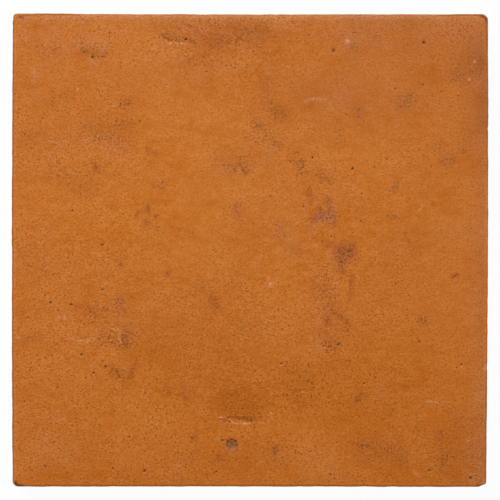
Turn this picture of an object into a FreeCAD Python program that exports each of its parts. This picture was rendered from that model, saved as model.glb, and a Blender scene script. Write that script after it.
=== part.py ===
"""Handmade terracotta floor tile: one slab of clay, pressed in a frame, struck off by hand and fired.

Millimetres, +Z up. The origin is in the middle of the underside, so the tile lies on Z = 0 with its
face up. Looking down on the face, +X is its right side and +Y its top side.
"""

import FreeCAD
import Part

import math
import os
from collections import namedtuple

NODE = "tile"

# Overall size of the slab
WIDTH = 200.0  # left to right across the face
DEPTH = 198.8  # bottom to top across the face
THICKNESS = 20.0  # underside to the level of the face
SIDE_DRAFT = 1.2  # how far each side runs in, from the face down to the underside

# Edges
ARRIS_RADIUS = 0.6  # worn edge all round the face
BED_BEVEL = 1.0  # trimmed edge all round the underside

# How far each side bows out at its middle, or in where negative, from drying and firing
BOTTOM_BOW = -0.12
RIGHT_BOW = 0.35
TOP_BOW = -0.2
LEFT_BOW = 0.42
SIDE_BOWS = (BOTTOM_BOW, RIGHT_BOW, TOP_BOW, LEFT_BOW)

# The corners, anticlockwise from the bottom left, where the first side starts. Each is pulled in from the
# full rectangle, because the slab is a little out of square. A knocked corner is cut off over break_x along
# the bottom or top side and break_y along the left or right side. The radius rounds its upright edges.
Corner = namedtuple("Corner", "side_x side_y pull_x pull_y break_x break_y radius")
CORNERS = (
    Corner(side_x=-1, side_y=-1, pull_x=0.35, pull_y=0.3, break_x=0, break_y=0, radius=2.6),
    Corner(side_x=+1, side_y=-1, pull_x=0.9, pull_y=0.1, break_x=2.9, break_y=1.4, radius=0.9),
    Corner(side_x=+1, side_y=+1, pull_x=0.1, pull_y=0.2, break_x=1.8, break_y=1.6, radius=0.9),
    Corner(side_x=-1, side_y=+1, pull_x=0.5, pull_y=0.0, break_x=0, break_y=0, radius=1.9),
)

# Places on the face are given as across and up: -1 at the left or bottom side, +1 at the right or top side.

# Gentle swells of the hand-pressed face, and hollows where the rise is negative
Wave = namedtuple("Wave", "across up rise reach_x reach_y")
FACE_WAVES = (
    Wave(across=-0.14, up=0.12, rise=0.45, reach_x=62, reach_y=44),
    Wave(across=-0.08, up=-0.66, rise=-0.4, reach_x=34, reach_y=18),
    Wave(across=-0.02, up=0.85, rise=-0.35, reach_x=40, reach_y=18),
    Wave(across=0.62, up=0.44, rise=0.25, reach_x=30, reach_y=34),
    Wave(across=-0.64, up=-0.3, rise=-0.25, reach_x=26, reach_y=30),
    Wave(across=0.66, up=-0.58, rise=0.2, reach_x=30, reach_y=26),
)
WAVE_POINT_GAP = 10.0  # between the points that the face is drawn through
FACE_STOCK = 4.0  # clay above the face before it is struck off
FACE_MARGIN = 8.0  # how far the struck surface runs past the sides

# Tears that striking off left in the damp clay: long shallow scoops, turned in degrees from +X
Tear = namedtuple("Tear", "across up length width depth turn")
TEARS = (
    Tear(across=-0.04, up=-0.718, length=18.0, width=3.4, depth=0.5, turn=-2),
    Tear(across=-0.296, up=0.889, length=15.0, width=3.0, depth=0.45, turn=-16),
)

# Round pits where grit fell out or gas escaped in the firing
PIT_FLOOR = 0.4  # radius of a pit's floor, as a share of the radius of its mouth
Pit = namedtuple("Pit", "across up radius depth")
PITS = (
    Pit(across=-0.08, up=-0.824, radius=2.1, depth=0.6),
    Pit(across=0.35, up=0.845, radius=0.8, depth=0.5),
    Pit(across=0.729, up=0.877, radius=0.9, depth=0.5),
    Pit(across=0.43, up=0.346, radius=0.6, depth=0.5),
    Pit(across=0.262, up=0.392, radius=0.6, depth=0.5),
    Pit(across=-0.606, up=-0.49, radius=0.8, depth=0.5),
    Pit(across=-0.707, up=-0.439, radius=0.7, depth=0.45),
    Pit(across=0.753, up=-0.928, radius=0.9, depth=0.5),
    Pit(across=-0.443, up=-0.928, radius=0.9, depth=0.5),
    Pit(across=-0.661, up=0.816, radius=0.7, depth=0.5),
    Pit(across=-0.837, up=-0.22, radius=0.6, depth=0.5),
    Pit(across=-0.619, up=0.023, radius=0.65, depth=0.45),
    Pit(across=0.371, up=-0.397, radius=0.65, depth=0.45),
    Pit(across=0.887, up=-0.481, radius=0.6, depth=0.4),
    Pit(across=0.924, up=-0.96, radius=0.6, depth=0.45),
)


def place_on_face(mark):
    """X and Y of a mark that is placed by across and up."""
    return mark.across * WIDTH / 2, mark.up * DEPTH / 2


def face_height(x, y):
    """Height of the pressed face above the underside."""
    height = THICKNESS
    for wave in FACE_WAVES:
        wave_x, wave_y = place_on_face(wave)
        away = ((x - wave_x) / wave.reach_x) ** 2 + ((y - wave_y) / wave.reach_y) ** 2
        height += wave.rise * math.exp(-away)
    return height


def corner_point(corner, inset):
    """Sharp corner of the slab in plan, with every side moved in by inset."""
    x = corner.side_x * (WIDTH / 2 - corner.pull_x - inset)
    y = corner.side_y * (DEPTH / 2 - corner.pull_y - inset)
    return FreeCAD.Vector(x, y, 0)


def sharp_outline(inset):
    """Edges of the slab in plan, in order, and the radius that rounds the end of each."""
    points = [corner_point(corner, inset) for corner in CORNERS]
    sides = []
    for index, bow in enumerate(SIDE_BOWS):
        first, last = CORNERS[index], CORNERS[(index + 1) % len(CORNERS)]
        runs_level = first.side_y == last.side_y
        start, end = points[index], points[(index + 1) % len(points)]
        along = (end - start).normalize()
        outward = FreeCAD.Vector(along.y, -along.x, 0)
        start = start + along * (first.break_x if runs_level else first.break_y)
        end = end - along * (last.break_x if runs_level else last.break_y)
        sides.append((start, (start + end) / 2 + outward * bow, end))

    edges, radii = [], []
    for index, side in enumerate(sides):
        following = (index + 1) % len(sides)
        corner = CORNERS[following]
        edges.append(Part.Arc(*side).toShape())
        radii.append(corner.radius)
        if corner.break_x and corner.break_y:
            edges.append(Part.LineSegment(side[-1], sides[following][0]).toShape())
            radii.append(corner.radius)
    return edges, radii


def outline(inset, height):
    """Closed outline of the slab at a height, with its corners rounded."""
    edges, radii = sharp_outline(inset)
    arcs = []
    for index, radius in enumerate(radii):
        following = (index + 1) % len(edges)
        fillet = Part.ChFi2d.FilletAlgo()
        fillet.init(edges[index], edges[following], Part.Plane())
        fillet.perform(radius)
        corner = edges[index].valueAt(edges[index].LastParameter)
        arc, edges[index], edges[following] = fillet.result(corner)
        arcs.append(arc)
    wire = Part.Wire([edge for pair in zip(edges, arcs) for edge in pair])
    wire.translate(FreeCAD.Vector(0, 0, height))
    return wire


def drafted_slab():
    """Slab that is still too high, with its sides running in towards the bevelled underside."""
    top = THICKNESS + FACE_STOCK
    inset_at = lambda height: SIDE_DRAFT * (1 - height / THICKNESS)
    sections = [
        outline(inset_at(0) + BED_BEVEL, 0),
        outline(inset_at(BED_BEVEL), BED_BEVEL),
        outline(inset_at(top), top),
    ]
    return Part.makeLoft(sections, True, True)


def clay_above_face():
    """What is struck off: everything above the pressed face, up past the top of the slab."""
    half_x = WIDTH / 2 + FACE_MARGIN
    half_y = DEPTH / 2 + FACE_MARGIN
    steps_x = math.ceil(2 * half_x / WAVE_POINT_GAP)
    steps_y = math.ceil(2 * half_y / WAVE_POINT_GAP)
    rows = []
    for i in range(steps_x + 1):
        x = half_x * (2 * i / steps_x - 1)
        ys = [half_y * (2 * j / steps_y - 1) for j in range(steps_y + 1)]
        rows.append([FreeCAD.Vector(x, y, face_height(x, y)) for y in ys])
    surface = Part.BSplineSurface()
    surface.interpolate(rows)
    return surface.toShape().extrude(FreeCAD.Vector(0, 0, 2 * FACE_STOCK))


def wear_arris(tile):
    """Tile with the edge all round its face worn round, as far as the tightest corner lets it."""
    radius = min([ARRIS_RADIUS] + [0.85 * corner.radius for corner in CORNERS])
    face = max(tile.Faces, key=lambda part: part.CenterOfMass.z)
    return tile.makeFillet(radius, face.OuterWire.Edges)


def tear_cutter(tear):
    """Flat slender ellipsoid, half sunk, that leaves a long shallow scoop in the face."""
    x, y = place_on_face(tear)
    stretch = FreeCAD.Matrix()
    stretch.scale(tear.length / 2, tear.width / 2, tear.depth)
    cutter = Part.makeSphere(1).transformGeometry(stretch)
    cutter.rotate(FreeCAD.Vector(0, 0, 0), FreeCAD.Vector(0, 0, 1), tear.turn)
    cutter.translate(FreeCAD.Vector(x, y, face_height(x, y)))
    return cutter


def pit_cutter(pit):
    """Blunt cone, point down, that leaves a pit of the given mouth radius and depth in the face."""
    x, y = place_on_face(pit)
    floor_radius = PIT_FLOOR * pit.radius
    spread = pit.radius - floor_radius
    floor = FreeCAD.Vector(x, y, face_height(x, y) - pit.depth)
    return Part.makeCone(floor_radius, pit.radius + spread, 2 * pit.depth, floor)


def build_tile():
    """The fired tile as one solid."""
    tile = wear_arris(drafted_slab().cut(clay_above_face()))
    cutters = [tear_cutter(tear) for tear in TEARS] + [pit_cutter(pit) for pit in PITS]
    return tile.cut(cutters).Solids[0]


def main():
    tile = build_tile()
    os.makedirs("parts", exist_ok=True)
    tile.exportStep(os.path.join("parts", NODE + ".step"))
    box = tile.optimalBoundingBox()
    print(f"{NODE}: {box.XLength:.2f} x {box.YLength:.2f} x {box.ZLength:.2f} mm, {tile.Volume / 1000:.1f} cm3")


main()
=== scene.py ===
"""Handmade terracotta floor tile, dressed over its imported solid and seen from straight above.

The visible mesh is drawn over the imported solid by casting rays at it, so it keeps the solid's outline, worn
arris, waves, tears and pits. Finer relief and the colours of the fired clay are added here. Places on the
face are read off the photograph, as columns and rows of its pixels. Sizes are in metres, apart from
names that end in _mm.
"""

import logging
import math
from dataclasses import dataclass, field
from enum import Enum
from typing import Any, Union

import bpy
import numpy as np
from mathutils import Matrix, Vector, noise
from mathutils.bvhtree import BVHTree


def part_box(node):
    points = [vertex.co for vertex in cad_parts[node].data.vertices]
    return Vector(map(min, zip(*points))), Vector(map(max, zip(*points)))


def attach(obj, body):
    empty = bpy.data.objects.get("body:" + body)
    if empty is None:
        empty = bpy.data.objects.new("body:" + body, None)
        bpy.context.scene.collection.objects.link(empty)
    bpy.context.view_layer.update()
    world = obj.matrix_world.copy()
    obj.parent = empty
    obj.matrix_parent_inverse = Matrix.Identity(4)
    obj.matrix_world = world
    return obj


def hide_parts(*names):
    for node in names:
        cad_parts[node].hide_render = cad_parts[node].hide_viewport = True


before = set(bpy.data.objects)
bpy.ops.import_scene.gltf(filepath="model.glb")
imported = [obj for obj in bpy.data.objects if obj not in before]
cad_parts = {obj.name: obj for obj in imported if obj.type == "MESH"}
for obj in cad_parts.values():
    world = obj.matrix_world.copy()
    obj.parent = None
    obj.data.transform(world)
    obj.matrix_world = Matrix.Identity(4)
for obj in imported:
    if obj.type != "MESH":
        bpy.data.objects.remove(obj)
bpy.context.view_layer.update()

NODE = "tile"
BODY = "root"
PIECE = "fired_clay_tile"
MM = 0.001
UP = Vector((0.0, 0.0, 1.0))
IN_PLAN = np.array((1.0, 1.0, 0.0))
ALONG_X = np.array((1.0, 0.0, 0.0))
WHITE = (1.0, 1.0, 1.0, 1.0)
NOISE_MEAN = 0.5  # of a noise in the shader

Colour = tuple[float, float, float, float]
Stretch = tuple[float, float, float]
Span = tuple[float, float]
Pixels = tuple[tuple[float, float], ...]
log = logging.getLogger("tile")


class Tone(Enum):
    """Layers that are laid over the clay, by the name of the mesh attribute that holds each."""

    DEEP = "deep"
    PALE = "pale"
    ROSE = "rose"
    DUSK = "dusk"
    UMBER = "umber"
    RUST = "rust"
    PLUM = "plum"
    LILAC = "lilac"
    # pale dust, and painted highlights on lit crests, below pits and just inside the edge
    CHALK_AND_HIGHLIGHT = "chalk_and_highlight"
    # black dirt, and painted shade in pits and in the hollows of the tears
    SOOT_AND_SHADE = "soot_and_shade"
    # crumbs, and along the tears the painted highlight of their lit lips
    CRUMB_AND_HIGHLIGHT = "crumb"
    # painted shade on the rounded arris
    ARRIS_SHADE = "arris"
    RAW = "raw"
    WORN = "worn"


class Lay(Enum):
    """How one colour is laid on another, by the blend type of a Mix node."""

    OVER = "MIX"
    TINT = "MULTIPLY"


class Spread(Enum):
    """How far the outline of a mark strays, in millimetres."""

    CRISP = 0.0
    UNEVEN = 1.2
    CLOUDY = 5.0


@dataclass(frozen=True)
class PhotoScale:
    """Where the tile lies in the photograph, to turn its pixels into places on the tile."""

    tile_width: float
    columns_across: float = 477.1
    centre_column: float = 250.05
    centre_row: float = 250.45
    columns: float = 500.0
    half_pixel: float = 0.5

    @property
    def pixel(self) -> float:
        """Size of a pixel on the tile."""
        return self.tile_width / self.columns_across

    def place(self, column: float, row: float) -> tuple[float, float]:
        """Place on the tile under the middle of a pixel.

        Args:
            column: Pixels from the left of the photograph.
            row: Pixels from its top.

        Returns:
            X and Y from the middle of the tile.
        """
        x = (column + self.half_pixel - self.centre_column) * self.pixel
        y = (self.centre_row - row - self.half_pixel) * self.pixel
        return x, y

    def distance(self, points: np.ndarray, pixels: Pixels) -> np.ndarray:
        """Distance in plan from many points to a dab at one pixel, or to a stroke through several.

        Args:
            points: Places on the tile, one in each row.
            pixels: Column and row of each pixel, in order.

        Returns:
            The distance for each place.
        """
        ends = np.array([self.place(*pixel) for pixel in pixels])
        best = np.hypot(points[:, 0] - ends[0, 0], points[:, 1] - ends[0, 1])
        for start, end in zip(ends[:-1], ends[1:]):
            along = end - start
            share = np.clip((points[:, :2] - start) @ along / (along @ along), 0.0, 1.0)
            near = start + share[:, None] * along
            best = np.minimum(best, np.hypot(points[:, 0] - near[:, 0], points[:, 1] - near[:, 1]))
        return best


@dataclass(frozen=True)
class Pit:
    """A small pit where grit fell out, with dark dirt and painted shade in it and a painted highlight below.
    Its depth is 0 where the solid has the pit.
    """

    column: float
    row: float
    radius_mm: float
    depth_mm: float
    dirt: float = 1.0

    @property
    def pixels(self) -> Pixels:
        """The pixel at its middle."""
        return ((self.column, self.row),)


@dataclass(frozen=True)
class Mark:
    """A dab of a tone on the face, or a stroke of it through several pixels."""

    tone: Tone
    reach_mm: float
    strength: float
    pixels: Pixels

    @property
    def spread(self) -> Spread:
        """How its outline strays: a wide mark more than a small one."""
        if self.reach_mm < SMALL_MARK_MM:
            return Spread.CRISP
        return Spread.UNEVEN if self.reach_mm < WIDE_MARK_MM else Spread.CLOUDY


@dataclass(frozen=True)
class Tear:
    """A tear in the damp clay: a hollow that deepens down the face and ends at a ragged lip."""

    pixels: Pixels
    depth_mm: float
    hollow_mm: float
    lip_mm: float


@dataclass(frozen=True)
class Chip:
    """A bite out of the worn edge, at a pixel on the outline, or a swell where its depth is negative."""

    column: float
    row: float
    reach_mm: float
    depth_mm: float

    @property
    def pixels(self) -> Pixels:
        """The pixel at its middle."""
        return ((self.column, self.row),)


SMALL_MARK_MM = 1.0
WIDE_MARK_MM = 5.0

# Small pits, by column, row, radius, depth and how dark their dirt and painted shade are, which also sets
# their painted highlight
PITS = (
    Pit(312, 157, 0.50, 0.0), Pit(352, 168, 0.58, 0.0), Pit(333, 50, 0.80, 0.0, 0.7),
    Pit(423.5, 42, 0.80, 0.0, 0.7), Pit(387, 159, 0.42, 0.3, 0.8), Pit(374, 167, 0.45, 0.3, 0.6),
    Pit(431, 166, 0.42, 0.3, 0.7), Pit(423, 84, 0.42, 0.3, 0.8), Pit(441, 91, 0.42, 0.3, 0.9),
    Pit(395, 88, 0.45, 0.3, 0.8), Pit(360.5, 220.5, 0.45, 0.3, 0.9), Pit(303, 206, 0.48, 0.3, 0.8),
    Pit(361, 193.5, 0.45, 0.3, 0.8), Pit(361, 197, 0.38, 0.2, 0.6), Pit(340, 161, 0.36, 0.2, 0.5),
    Pit(346, 114, 0.40, 0.3, 0.6), Pit(358.5, 109, 0.40, 0.3, 0.6), Pit(358, 116, 0.42, 0.2, 0.5),
    Pit(331, 236, 0.40, 0.3, 0.6), Pit(322, 241, 0.40, 0.3, 0.6), Pit(92, 56.6, 0.62, 0.0),
    Pit(102, 56, 0.45, 0.3, 0.9), Pit(206, 71, 0.45, 0.3, 0.9), Pit(102, 244.5, 0.62, 0.0, 0.7),
    Pit(72, 210, 0.48, 0.35, 0.9), Pit(162, 182, 0.50, 0.3, 0.7), Pit(108.5, 32.5, 0.42, 0.3, 0.8),
    Pit(133, 60.5, 0.36, 0.3, 0.8), Pit(42, 118, 0.40, 0.3, 0.7), Pit(102, 289, 0.50, 0.35, 0.9),
    Pit(50, 302, 0.55, 0.0, 1.0), Pit(70.6, 304, 0.50, 0.35, 0.9), Pit(27.4, 317, 0.42, 0.3, 0.9),
    Pit(81, 354, 0.62, 0.0, 0.9), Pit(105, 366, 0.68, 0.0, 0.8), Pit(93, 372.6, 0.52, 0.35, 0.9),
    Pit(57, 387, 0.50, 0.3, 0.7), Pit(24, 401, 0.48, 0.3, 0.7), Pit(129, 436, 0.42, 0.3, 0.8),
    Pit(112, 468, 0.50, 0.35, 0.9), Pit(144, 470, 0.80, 0.0, 0.8), Pit(215.6, 471.5, 0.48, 0.35, 0.9),
    Pit(160, 444, 0.36, 0.2, 0.8), Pit(281, 363, 0.50, 0.35, 0.8),
    Pit(363.5, 383, 0.48, 0.35, 0.9), Pit(419, 341, 0.52, 0.35, 0.9), Pit(461, 364, 0.60, 0.0, 0.7),
    Pit(429, 470, 0.60, 0.0, 0.6), Pit(470, 477.5, 0.58, 0.0, 1.0), Pit(330.5, 474.5, 0.45, 0.3, 0.7),
    Pit(338, 344, 0.62, 0.0, 0.7), Pit(329, 346.5, 0.42, 0.3, 0.7), Pit(454, 276, 0.50, 0.3, 0.5),
    Pit(222, 440, 0.60, 0.4, 0.8), Pit(227.5, 441, 0.55, 0.3, 0.8), Pit(231, 439.5, 0.50, 0.3, 0.9),
    Pit(235, 441, 0.60, 0.4, 0.9), Pit(236, 444.5, 0.40, 0.2, 0.7), Pit(231, 442, 0.40, 0.2, 0.6),
    Pit(227, 446, 0.40, 0.2, 0.6), Pit(185.5, 38.4, 0.55, 0.45, 1.0), Pit(348.5, 251, 0.60, 0.3, 0.7),
)

# The large pit that a stone left, which the solid has too
STONE_PIT = Pit(231, 445, 2.2, 0.0, 0.25)

# Lips of the two tears, of which the lower has two, by their pixels, the depth of the hollow above the lip,
# how far that runs up the face, and the height of the lip
TEARS = (
    Tear(((218, 416), (226, 418), (233, 420.5)), 0.35, 2.0, 0.15),
    Tear(((228, 418), (236, 420), (243, 421.5), (252, 423), (268, 424)), 0.60, 5.0, 0.16),
    Tear(((160, 34), (168, 39), (173, 42), (178, 42), (184, 42), (191, 43.5), (199, 45)), 0.50, 2.5, 0.28),
)

# Bites and swells of the edge, by column, row, reach and depth
CHIPS = (
    Chip(275, 13.5, 0.8, 0.35), Chip(388, 13.8, 0.6, 0.3), Chip(441, 13.4, 0.5, 0.25),
    Chip(487.0, 128, 0.8, 0.25), Chip(487.0, 367, 1.0, 0.30), Chip(13, 19, 1.0, 0.30),
    Chip(48, 13.3, 13.0, -0.18), Chip(12.5, 22, 1.0, -0.2), Chip(481, 486, 1.2, 0.25),
    Chip(205, 13.8, 0.8, 0.2), Chip(487.0, 300, 0.8, 0.2),
)

# Marks on the face follow, tone by tone, each placed over the photograph. A row has the reach of a
# mark in millimetres, its strength, and the pixel that it lies on or the pixels that it runs through.

# Where the grain has been rubbed smooth
WORN_PATCHES = (
    (30.0, 0.75, (330, 105), (455, 105), (450, 200)),
    (22.0, 0.60, (185, 100), (190, 250)),
    (20.0, 0.55, (200, 205), (270, 230)),
    (18.0, 0.45, (452, 230), (455, 390)),
    (16.0, 0.40, (310, 50)),
    (15.0, 0.35, (385, 230), (370, 160)),
    (18.0, 0.35, (48, 60), (50, 190)),
)

# Broad washes that the fire left, deeper in colour, and painted shade in the hollow above the lower tear
DEEP_WASHES_AND_SHADE = (
    (8.0, 0.30, (200, 34), (300, 36)),
    (36.0, 0.22, (110, 400), (400, 400)),
    (10.0, 0.45, (150, 352)),
    (12.0, 0.15, (175, 345), (235, 348)),
    (12.0, 0.40, (305, 385), (345, 400), (380, 385)),
    # Painted shade in the hollow above the lower tear
    (7.0, 0.45, (222, 401), (252, 405)),
    (4.0, 0.80, (228, 411), (250, 413)),
    (5.0, 0.25, (262, 398), (272, 402)),
    (18.0, 0.12, (380, 352), (450, 385)),
    (10.0, 0.50, (190, 448), (275, 456)),
    (8.0, 0.35, (352, 446), (392, 456)),
    (10.0, 0.30, (448, 440), (455, 465)),
    (5.0, 0.35, (20, 482), (480, 482)),
    (22.0, 0.14, (370, 310), (470, 340), (340, 430)),
    (8.0, 0.15, (470, 400), (472, 460)),
)

# Paler washes
PALE_WASHES = (
    (15.0, 0.35, (165, 112), (185, 132)),
    (12.0, 0.30, (150, 160), (250, 180)),
    (13.0, 0.45, (110, 205), (150, 215), (200, 214)),
    (10.0, 0.35, (350, 200), (385, 215)),
    (12.0, 0.35, (48, 198), (80, 222)),
    (12.0, 0.25, (120, 255), (200, 268)),
    (9.0, 0.30, (258, 278), (300, 275)),
    (12.0, 0.35, (110, 408), (170, 412)),
    (8.0, 0.30, (190, 432), (300, 432)),
    (12.0, 0.25, (330, 150), (400, 200)),
    (6.0, 0.30, (440, 88), (470, 88)),
    (14.0, 0.20, (110, 225), (200, 245)),
    (12.0, 0.24, (270, 270), (300, 340)),
    (8.0, 0.45, (348, 205), (360, 240)),
    (7.0, 0.20, (430, 215), (440, 245)),
    (8.0, 0.25, (140, 225), (152, 275)),
    (8.0, 0.20, (142, 392), (152, 425)),
    (7.0, 0.25, (385, 385), (394, 398)),
    (7.0, 0.15, (180, 28), (100, 26)),
    (10.0, 0.20, (150, 210), (195, 212)),
    (20.0, 0.12, (370, 310), (470, 350)),
)

# Pinkish washes
ROSE_WASHES = (
    (5.0, 0.30, (20, 22), (250, 24), (480, 22)),
    (7.0, 0.30, (30, 30), (58, 44)),
    (8.0, 0.20, (150, 60), (230, 66)),
    (14.0, 0.10, (300, 92), (430, 100)),
    (5.0, 0.30, (483, 20), (484, 250), (482, 480)),
    (8.0, 0.08, (40, 452), (70, 456)),
    (8.0, 0.12, (316, 275), (324, 300), (318, 340)),
    (6.0, 0.25, (20, 140), (110, 138)),
    (6.0, 0.14, (180, 458), (182, 468)),
    (6.0, 0.14, (285, 462), (330, 466)),
    (5.0, 0.20, (470, 425), (478, 480)),
    (8.0, 0.22, (262, 45), (275, 75)),
    (6.0, 0.25, (388, 390)),
    (6.0, 0.25, (345, 200), (355, 215)),
    (5.0, 0.25, (26, 85), (32, 100)),
    (4.0, 0.30, (482, 40), (483, 140)),
)

# Dull brown washes, and painted shade in the hollow above the lower tear
DUSK_WASHES = (
    (12.0, 0.07, (30, 68), (190, 85)),
    (8.0, 0.10, (268, 110), (275, 150)),
    (8.0, 0.10, (310, 90), (355, 95)),
    (8.0, 0.08, (318, 118), (395, 122)),
    (7.0, 0.10, (108, 330), (150, 335)),
    (8.0, 0.08, (200, 452), (260, 455)),
    (8.0, 0.10, (465, 115), (470, 150)),
    (5.0, 0.22, (460, 74), (484, 64)),
    (3.0, 0.12, (446, 77), (462, 72)),
    (14.0, 0.26, (360, 40), (470, 42)),
    (10.0, 0.12, (310, 90), (430, 95)),
    (8.0, 0.15, (478, 60), (478, 130)),
    (5.0, 0.16, (165, 28), (215, 36), (260, 28)),
    (6.0, 0.09, (190, 40), (300, 36)),
    (4.0, 0.10, (484, 100), (484, 480)),
    (8.0, 0.18, (445, 445), (455, 465)),
    (8.0, 0.08, (470, 430), (478, 480)),
    (5.0, 0.20, (360, 448), (395, 455)),
    (6.0, 0.12, (400, 238), (470, 232)),
    # Painted shade in the hollow above the lower tear
    (6.0, 0.15, (222, 401), (252, 405)),
    (5.0, 0.16, (222, 166), (236, 168)),
    (5.0, 0.14, (232, 158), (260, 160)),
    (4.0, 0.20, (482, 45), (483, 115)),
    (7.0, 0.10, (95, 130), (120, 135)),
)

# Brown stains, gathered on the grain, and painted shade in the hollows above the two tears
UMBER_STAINS_AND_SHADE = (
    (2.4, 0.45, (80, 45), (88, 55)),
    (3.0, 0.45, (84, 47), (104, 49)),
    (0.9, 0.45, (99, 57), (103, 56)),
    (3.0, 0.40, (35, 48), (55, 50)),
    (1.5, 1.00, (120, 104), (127, 104)),
    (1.0, 0.80, (128, 99), (128, 102)),
    (5.0, 0.30, (95, 128), (120, 130)),
    (1.8, 0.70, (97, 139)),
    (1.8, 0.50, (93, 161), (97, 172)),
    (2.0, 0.50, (24, 136), (32, 140)),
    (3.0, 0.35, (52, 100), (64, 98)),
    (1.0, 0.22, (115, 123), (140, 122)),
    (2.6, 0.35, (212, 40), (234, 40)),
    (3.0, 0.35, (236, 36), (247, 33)),
    (3.0, 0.25, (247, 30), (262, 27)),
    (2.4, 0.50, (185, 63), (205, 58)),
    (1.8, 0.50, (214, 66)),
    (2.4, 0.40, (262, 78), (268, 104)),
    (2.2, 1.00, (274, 111), (283, 114)),
    (1.2, 0.70, (276, 117)),
    (1.6, 0.90, (255, 121), (259, 126)),
    (1.2, 0.70, (264, 130), (266, 137)),
    (1.5, 1.00, (272, 141), (278, 145)),
    (2.0, 0.45, (242, 136), (254, 140)),
    (2.0, 0.55, (237, 163), (246, 169)),
    (2.0, 0.45, (226, 167), (232, 171)),
    (1.4, 0.80, (297, 151)),
    (2.0, 0.95, (299, 158), (301, 168)),
    (1.3, 0.70, (301, 174)),
    (1.3, 0.60, (350, 45), (355, 45)),
    (1.3, 0.80, (374, 38)),
    (4.5, 0.25, (464, 74), (484, 64)),
    (1.2, 0.60, (418, 85)),
    (2.4, 0.95, (402, 104), (408, 100)),
    (1.0, 0.60, (409, 93)),
    (2.0, 0.45, (358, 107), (361, 116)),
    (2.0, 0.35, (338, 122), (342, 138)),
    (2.4, 1.00, (445, 161), (450, 160)),
    (1.4, 0.90, (463, 150)),
    (2.4, 0.45, (434, 144), (442, 146)),
    (1.8, 0.70, (394, 188), (396, 182)),
    (1.4, 0.70, (393, 218)),
    (2.6, 0.95, (423, 320)),
    (2.2, 0.60, (344, 318), (347, 330)),
    (1.8, 0.50, (201, 288)),
    (3.5, 0.28, (238, 328), (255, 324)),
    (1.8, 0.40, (192, 235)),
    (2.2, 0.35, (240, 229)),
    (5.0, 0.35, (55, 172), (82, 188)),
    (3.0, 0.35, (86, 308), (98, 318)),
    (1.2, 0.70, (91, 309)),
    (1.0, 1.00, (121, 338), (122, 342)),
    (2.5, 0.60, (103, 338), (118, 343)),
    (2.4, 0.60, (112, 372), (128, 378)),
    (1.2, 0.50, (110, 403), (112, 411)),
    (1.6, 0.60, (164, 390), (171, 393)),
    (1.2, 0.70, (107, 442)),
    (1.8, 0.75, (193, 436)),
    # Painted shade in the hollow above the lower tear
    (6.0, 0.15, (218, 397), (250, 404)),
    (2.4, 0.35, (230, 410), (252, 412)),
    (0.55, 0.80, (226, 415.5), (232, 417), (240, 418.5)),
    (0.80, 0.90, (244, 418), (251, 420)),
    (0.45, 0.60, (223, 420.5), (230, 422)),
    # Painted shade in the hollow above the upper tear
    (0.55, 0.80, (164, 35.5), (171, 39), (177, 39.5)),
    (0.60, 0.45, (184, 40.5), (191, 41), (197, 42.5)),
    (1.4, 0.80, (352, 441)),
    (1.3, 1.00, (358, 446), (367, 446)),
    (1.4, 0.80, (375, 455)),
    (1.4, 0.50, (360, 413)),
    (5.0, 0.30, (300, 372), (306, 395)),
    (1.8, 0.60, (443, 456), (443, 470)),
    (1.5, 0.80, (440, 433)),
    (1.0, 0.60, (36, 426)),
    (1.2, 0.70, (333, 370)),
    (1.2, 0.80, (338, 344), (335, 349)),
    (1.0, 0.80, (327, 343), (331, 348)),
    (1.1, 0.30, (355, 400), (360, 398)),
    (1.1, 0.70, (363, 395), (367, 393)),
    (1.6, 0.95, (274, 451)),
    (2.4, 0.40, (271, 462)),
    (1.4, 0.45, (393, 403), (391, 414)),
    (1.4, 0.45, (417, 429)),
    (1.6, 0.40, (451, 453)),
    (4.0, 0.25, (386, 444), (400, 462)),
    (1.2, 0.45, (425, 446)),
    (0.5, 0.60, (486.5, 94), (486.5, 100)),
    (0.5, 0.70, (486.5, 119), (486.3, 136)),
    (0.5, 0.60, (486.3, 165), (486.3, 170)),
)

# Red-brown spots
RUST_SPOTS = (
    (1.6, 0.90, (137, 214)),
    (1.4, 0.40, (143, 225)),
    (1.5, 0.35, (157, 229)),
    (1.0, 0.85, (156, 216)),
    (1.4, 0.70, (120, 265)),
    (1.4, 0.70, (147, 149)),
    (1.3, 0.70, (155, 153)),
    (0.9, 0.80, (191, 122)),
    (1.1, 1.00, (167, 272)),
    (0.5, 0.80, (168.5, 271)),
    (0.8, 0.70, (216, 159)),
    (1.0, 0.70, (290, 160)),
    (0.7, 0.80, (49, 165)),
    (0.7, 0.70, (73, 93)),
    (1.4, 0.80, (327, 245)),
    (0.8, 0.60, (361, 28)),
    (0.45, 1.00, (44.6, 465.6), (47.2, 466.6)),
    (0.55, 1.00, (18.5, 16.6), (22.5, 17.2)),
    (1.0, 0.60, (93, 161), (96, 170)),
    (1.6, 0.35, (239, 165), (246, 170)),
    (1.0, 0.70, (456, 275), (453, 277)),
    (2.4, 0.35, (341, 250), (348, 256)),
    (0.9, 0.65, (351, 275), (350, 298)),
    (1.2, 0.35, (306, 172), (318, 176), (330, 182)),
    (0.9, 0.28, (309, 186), (310, 198)),
    (0.9, 0.55, (341, 262), (343, 272)),
    (0.9, 0.55, (336, 314), (342, 316)),
    (0.9, 0.45, (346, 318), (348, 328)),
    (0.9, 0.55, (326, 318), (328, 324)),
    (3.6, 0.20, (319, 288), (330, 300), (327, 340)),
    (0.8, 0.50, (148, 205), (147, 210)),
    (1.1, 0.50, (440, 434)),
    (1.4, 0.35, (440, 461)),
)

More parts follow.
